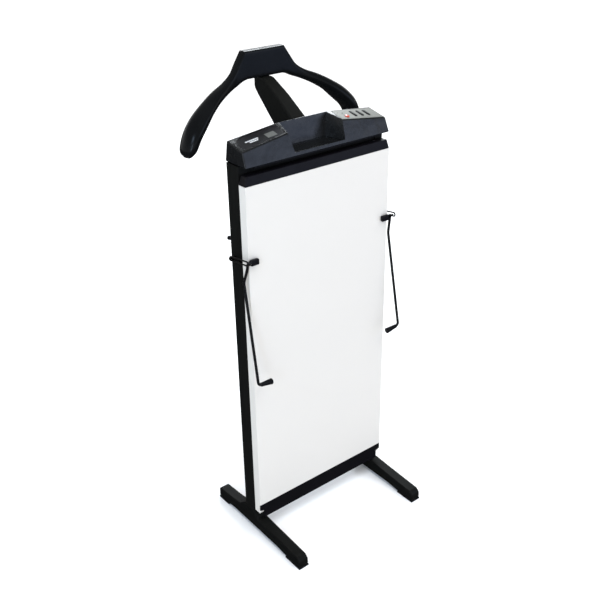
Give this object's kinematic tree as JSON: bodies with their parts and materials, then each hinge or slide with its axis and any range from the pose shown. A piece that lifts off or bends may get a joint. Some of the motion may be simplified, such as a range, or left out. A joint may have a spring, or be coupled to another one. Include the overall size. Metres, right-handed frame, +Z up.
{
  "type": "trouser press",
  "caption": "Freestanding electric trouser press: padded heated platen, white hinged pressing door with wire clamp handles, button console with tray, and a jacket hanger on a raked arm.",
  "frame": {"origin": "middle of the footprint, on the floor", "axes": "+X to the right and -Y towards the user, who stands in front of the white door; +Z up"},
  "size_m": [0.4648, 0.3564, 1.0849],
  "materials": {
    "black_steel": "satin black powder coat",
    "black_plastic": "fine-grained satin black moulding",
    "wire_steel": "semi-gloss black coating",
    "bright_steel": "zinc plated",
    "white_board": "white laminate, semi-gloss",
    "rubber": "matt",
    "aluminium": "mill finish",
    "fabric": "dark woven pressing cloth over felt",
    "hardboard": "plain hardboard",
    "silver_panel": "silver paint, satin",
    "red_lens": "gloss",
    "dark_lens": "gloss",
    "cream_nylon": "plain",
    "circuit_green": "lacquered circuit board"
  },
  "bodies": {
    "root": {"badge_plate": "black_plastic", "bottom_rail": "black_steel", "cable_gland": "rubber", "circuit_board": "circuit_green", "console_base": "black_plastic", "console_shell": "black_plastic", "control_panel": "silver_panel", "foot_left": "black_plastic", "foot_right": "black_plastic", "front_pad_left": "rubber", "front_pad_right": "rubber", "hanger": "black_plastic", "hanger_arm": "black_plastic", "hanger_bracket": "black_steel", "heater_element": "bright_steel", "hinge_bracket_left": "black_steel", "hinge_bracket_right": "black_steel", "hinge_pin_left": "bright_steel", "hinge_pin_right": "bright_steel", "indicator_lens": "dark_lens", "platen_board": "hardboard", "platen_pad": "fabric", "platen_plate": "aluminium", "rear_cover": "black_steel", "rear_pad_left": "rubber", "rear_pad_right": "rubber", "rear_peg_left": "black_plastic", "rear_peg_right": "black_plastic", "rear_screw_1": "bright_steel", "rear_screw_2": "bright_steel", "rear_screw_3": "bright_steel", "rear_screw_4": "bright_steel", "side_channel_left": "black_steel", "side_channel_right": "black_steel", "supply_lead": "black_plastic", "terminal_block": "cream_nylon", "thermal_cutout": "aluminium", "top_rail": "black_steel"},
    "door": {"door_board": "white_board", "door_pad": "fabric", "door_bottom_trim": "black_plastic", "door_top_trim": "black_plastic", "handle_clip_left": "black_plastic", "handle_clip_right": "black_plastic", "door_lug_left": "black_steel", "door_lug_right": "black_steel"},
    "handle_left": {"handle_wire_left": "wire_steel", "crank_left": "wire_steel", "handle_grip_left": "black_plastic"},
    "link_left": {"link_loop_left": "bright_steel", "link_stud_left": "bright_steel"},
    "handle_right": {"handle_wire_right": "wire_steel", "crank_right": "wire_steel", "handle_grip_right": "black_plastic"},
    "link_right": {"link_loop_right": "bright_steel", "link_stud_right": "bright_steel"},
    "power_button": {"power_button": "red_lens"},
    "timer_button_1": {"timer_button_1": "black_plastic"},
    "timer_button_2": {"timer_button_2": "black_plastic"},
    "timer_button_3": {"timer_button_3": "black_plastic"}
  },
  "joints": [
    {"name": "door_tilt", "type": "hinge", "parent": "root", "child": "door", "pos_m": [0, -0.01775, 0.0545], "axis": [1, 0, 0], "range_deg": [0, 2.6]},
    {"name": "handle_pivot_left", "type": "hinge", "parent": "door", "child": "handle_left", "pos_m": [-0.1955, -0.03455, 0.7174], "axis": [-1, 0, 0], "range_deg": [0, 130]},
    {"name": "link_slide_left", "type": "slide", "parent": "root", "child": "link_left", "axis": [0, -0.9676, -0.2525], "range_m": [0, 0.01875]},
    {"name": "handle_pivot_right", "type": "hinge", "parent": "door", "child": "handle_right", "pos_m": [0.1955, -0.03455, 0.7174], "axis": [-1, 0, 0], "range_deg": [0, 130]},
    {"name": "link_slide_right", "type": "slide", "parent": "root", "child": "link_right", "axis": [0, -0.9676, -0.2525], "range_m": [0, 0.01875]},
    {"name": "power_button_press", "type": "slide", "parent": "root", "child": "power_button", "axis": [-0.1131, 0.2202, -0.9689], "range_m": [0, 0.0012], "stiffness_N_per_m": 400},
    {"name": "timer_button_1_press", "type": "slide", "parent": "root", "child": "timer_button_1", "axis": [-0.1131, 0.2202, -0.9689], "range_m": [0, 0.0012], "stiffness_N_per_m": 400},
    {"name": "timer_button_2_press", "type": "slide", "parent": "root", "child": "timer_button_2", "axis": [-0.1131, 0.2202, -0.9689], "range_m": [0, 0.0012], "stiffness_N_per_m": 400},
    {"name": "timer_button_3_press", "type": "slide", "parent": "root", "child": "timer_button_3", "axis": [-0.1131, 0.2202, -0.9689], "range_m": [0, 0.0012], "stiffness_N_per_m": 400}
  ],
  "couplings": [
    {"joint": "handle_pivot_left", "follows": "door_tilt", "ratio": 50},
    {"joint": "link_slide_left", "follows": "door_tilt", "m_per_rad": 0.41088},
    {"joint": "handle_pivot_right", "follows": "door_tilt", "ratio": 50},
    {"joint": "link_slide_right", "follows": "door_tilt", "m_per_rad": 0.41088}
  ]
}
